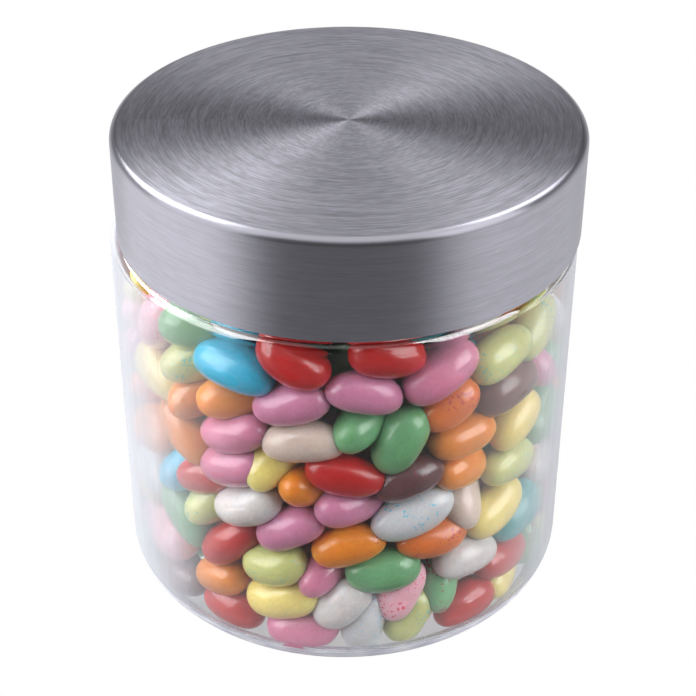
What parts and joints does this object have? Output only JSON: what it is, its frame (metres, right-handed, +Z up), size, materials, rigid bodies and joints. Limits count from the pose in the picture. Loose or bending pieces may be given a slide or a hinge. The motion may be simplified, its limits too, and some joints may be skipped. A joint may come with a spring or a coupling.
{
  "type": "jar of jelly beans",
  "caption": "Round clear jar with a round heel and a small shoulder, full of mixed glossy jelly beans, under a deep brushed steel lid.",
  "frame": {"origin": "centre of the jar's flat foot, on the surface that it stands on", "axes": "+Z up along the jar's axis, -Y towards the side that the picture shows, +X to the right seen from there"},
  "size_m": [0.1015, 0.101, 0.109],
  "materials": {
    "clear_glass": "clear, smooth and glossy",
    "brushed_steel": "fine brushing in circles on the top and round the side, rolled edge polished",
    "mixed_beans": "polished sugar shell in many colours",
    "red_bean": "polished sugar shell",
    "pink_bean": "polished sugar shell",
    "orange_bean": "polished sugar shell",
    "yellow_bean": "polished sugar shell",
    "lime_bean": "polished sugar shell, some with fine specks",
    "green_bean": "polished sugar shell, some with fine specks",
    "teal_bean": "polished sugar shell",
    "blue_bean": "polished sugar shell",
    "white_bean": "polished sugar shell, some with fine specks",
    "brown_bean": "polished sugar shell"
  },
  "bodies": {
    "root": {"jar_glass": "clear_glass", "jelly_beans": "mixed_beans", "lid": "brushed_steel"}
  },
  "joints": []
}
